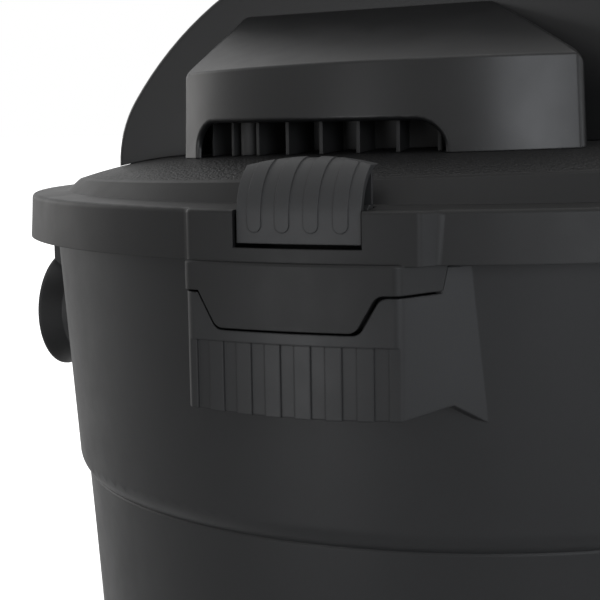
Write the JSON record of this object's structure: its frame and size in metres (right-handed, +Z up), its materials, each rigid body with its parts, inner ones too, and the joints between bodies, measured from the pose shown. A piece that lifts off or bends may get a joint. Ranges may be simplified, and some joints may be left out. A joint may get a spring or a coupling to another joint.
{
  "type": "shop vacuum",
  "caption": "Wheeled drum vacuum with a lift-off motor head, side latches over hand grips, side hose inlet, rear blower port and swivel casters.",
  "frame": {"origin": "on the floor, under the axis of the drum, where the four wheels stand", "axes": "+Z up along the drum axis, -Y towards the hose inlet, +Y towards the blower port, +X towards the right-hand latch"},
  "size_m": [0.554, 0.5574, 0.6624],
  "materials": {
    "drum_plastic": "satin moulded polyethylene, charcoal grey",
    "lid_plastic": "fine-grained black moulding",
    "cover_plastic": "fine-grained black moulding",
    "latch_plastic": "fine-grained black moulding",
    "dark_plastic": "plain black moulding",
    "rocker_plastic": "glossy red moulding",
    "inner_plastic": "glass-filled black moulding",
    "seal_rubber": "soft black rubber",
    "filter_paper": "pleated cellulose paper",
    "wheel_plastic": "hard black moulding",
    "pin_steel": "zinc-plated steel",
    "core_steel": "stacked electrical steel",
    "coil_copper": "enamelled copper windings",
    "brush_carbon": "carbon brushes in their holders",
    "fan_aluminium": "pressed aluminium"
  },
  "bodies": {
    "drum": {"drum": "drum_plastic", "inlet_port": "lid_plastic", "port_screws": "pin_steel", "inlet_deflector": "lid_plastic", "caster_feet": "lid_plastic"},
    "head": {"lid": "lid_plastic", "lid_gasket": "seal_rubber", "latch_pins": "pin_steel", "motor_cover": "cover_plastic", "vent_baffle_right": "dark_plastic", "vent_baffle_left": "dark_plastic", "cover_screws": "pin_steel", "carry_handle": "cover_plastic", "handle_screws": "pin_steel", "switch_bezel": "dark_plastic", "blower_port": "cover_plastic", "cord_gland": "dark_plastic", "fan_housing": "inner_plastic", "housing_screws": "pin_steel", "fan_plate": "inner_plastic", "motor_shroud": "inner_plastic", "stator": "core_steel", "field_coils": "coil_copper", "brushes": "brush_carbon", "bearings": "pin_steel", "filter_cage": "inner_plastic"},
    "latch_right": {"latch_right": "latch_plastic"},
    "latch_left": {"latch_left": "latch_plastic"},
    "rotor": {"armature": "core_steel", "impeller": "fan_aluminium", "impeller_nut": "pin_steel"},
    "rocker": {"switch_rocker": "rocker_plastic"},
    "float": {"float_ball": "inner_plastic"},
    "filter": {"filter_paper": "filter_paper", "filter_caps": "seal_rubber", "filter_plate": "inner_plastic", "filter_nut": "inner_plastic"},
    "hose_lock": {"hose_lock_button": "latch_plastic"},
    "drain": {"drain_cap": "latch_plastic", "drain_seal": "seal_rubber"},
    "caster_1": {"caster_fork_1": "dark_plastic", "caster_axle_1": "pin_steel"},
    "wheel_1": {"caster_wheel_1": "wheel_plastic"},
    "caster_2": {"caster_fork_2": "dark_plastic", "caster_axle_2": "pin_steel"},
    "wheel_2": {"caster_wheel_2": "wheel_plastic"},
    "caster_3": {"caster_fork_3": "dark_plastic", "caster_axle_3": "pin_steel"},
    "wheel_3": {"caster_wheel_3": "wheel_plastic"},
    "caster_4": {"caster_fork_4": "dark_plastic", "caster_axle_4": "pin_steel"},
    "wheel_4": {"caster_wheel_4": "wheel_plastic"}
  },
  "joints": [
    {"name": "head_lift", "type": "slide", "parent": "drum", "child": "head", "axis": [0, 0, 1], "range_m": [0, 0.23]},
    {"name": "latch_right_swing", "type": "hinge", "parent": "head", "child": "latch_right", "pos_m": [0.258, 0, 0.4528], "axis": [0, -1, 0], "range_deg": [0, 26]},
    {"name": "latch_left_swing", "type": "hinge", "parent": "head", "child": "latch_left", "pos_m": [-0.258, 0, 0.4528], "axis": [0, 1, 0], "range_deg": [0, 26]},
    {"name": "motor_spin", "type": "hinge", "parent": "head", "child": "rotor", "pos_m": [0, 0, 0.515], "axis": [0, 0, 1], "continuous": true},
    {"name": "switch_rock", "type": "hinge", "parent": "head", "child": "rocker", "pos_m": [0, -0.11487, 0.56952], "axis": [-1, 0, 0], "range_deg": [0, 16]},
    {"name": "float_rise", "type": "slide", "parent": "head", "child": "float", "axis": [0, 0, 1], "range_m": [0, 0.0762]},
    {"name": "filter_off", "type": "slide", "parent": "head", "child": "filter", "axis": [0, 0, -1], "range_m": [0, 0.146]},
    {"name": "hose_lock_press", "type": "slide", "parent": "drum", "child": "hose_lock", "axis": [0, 0, -1], "range_m": [0, 0.003], "stiffness_N_per_m": 900, "springref_m": -0.002},
    {"name": "drain_cap_off", "type": "slide", "parent": "drum", "child": "drain", "axis": [0, 1, 0], "range_m": [0, 0.025]},
    {"name": "caster_1_swivel", "type": "hinge", "parent": "drum", "child": "caster_1", "pos_m": [0.12587, 0.12587, 0.052], "axis": [0, 0, 1], "continuous": true},
    {"name": "wheel_1_spin", "type": "hinge", "parent": "caster_1", "child": "wheel_1", "pos_m": [0.13859, 0.13859, 0.024], "axis": [-0.7071, 0.7071, 0], "continuous": true},
    {"name": "caster_2_swivel", "type": "hinge", "parent": "drum", "child": "caster_2", "pos_m": [-0.12587, 0.12587, 0.052], "axis": [0, 0, 1], "continuous": true},
    {"name": "wheel_2_spin", "type": "hinge", "parent": "caster_2", "child": "wheel_2", "pos_m": [-0.13859, 0.13859, 0.024], "axis": [-0.7071, -0.7071, 0], "continuous": true},
    {"name": "caster_3_swivel", "type": "hinge", "parent": "drum", "child": "caster_3", "pos_m": [-0.12587, -0.12587, 0.052], "axis": [0, 0, 1], "continuous": true},
    {"name": "wheel_3_spin", "type": "hinge", "parent": "caster_3", "child": "wheel_3", "pos_m": [-0.13859, -0.13859, 0.024], "axis": [0.7071, -0.7071, 0], "continuous": true},
    {"name": "caster_4_swivel", "type": "hinge", "parent": "drum", "child": "caster_4", "pos_m": [0.12587, -0.12587, 0.052], "axis": [0, 0, 1], "continuous": true},
    {"name": "wheel_4_spin", "type": "hinge", "parent": "caster_4", "child": "wheel_4", "pos_m": [0.13859, -0.13859, 0.024], "axis": [0.7071, 0.7071, 0], "continuous": true}
  ]
}
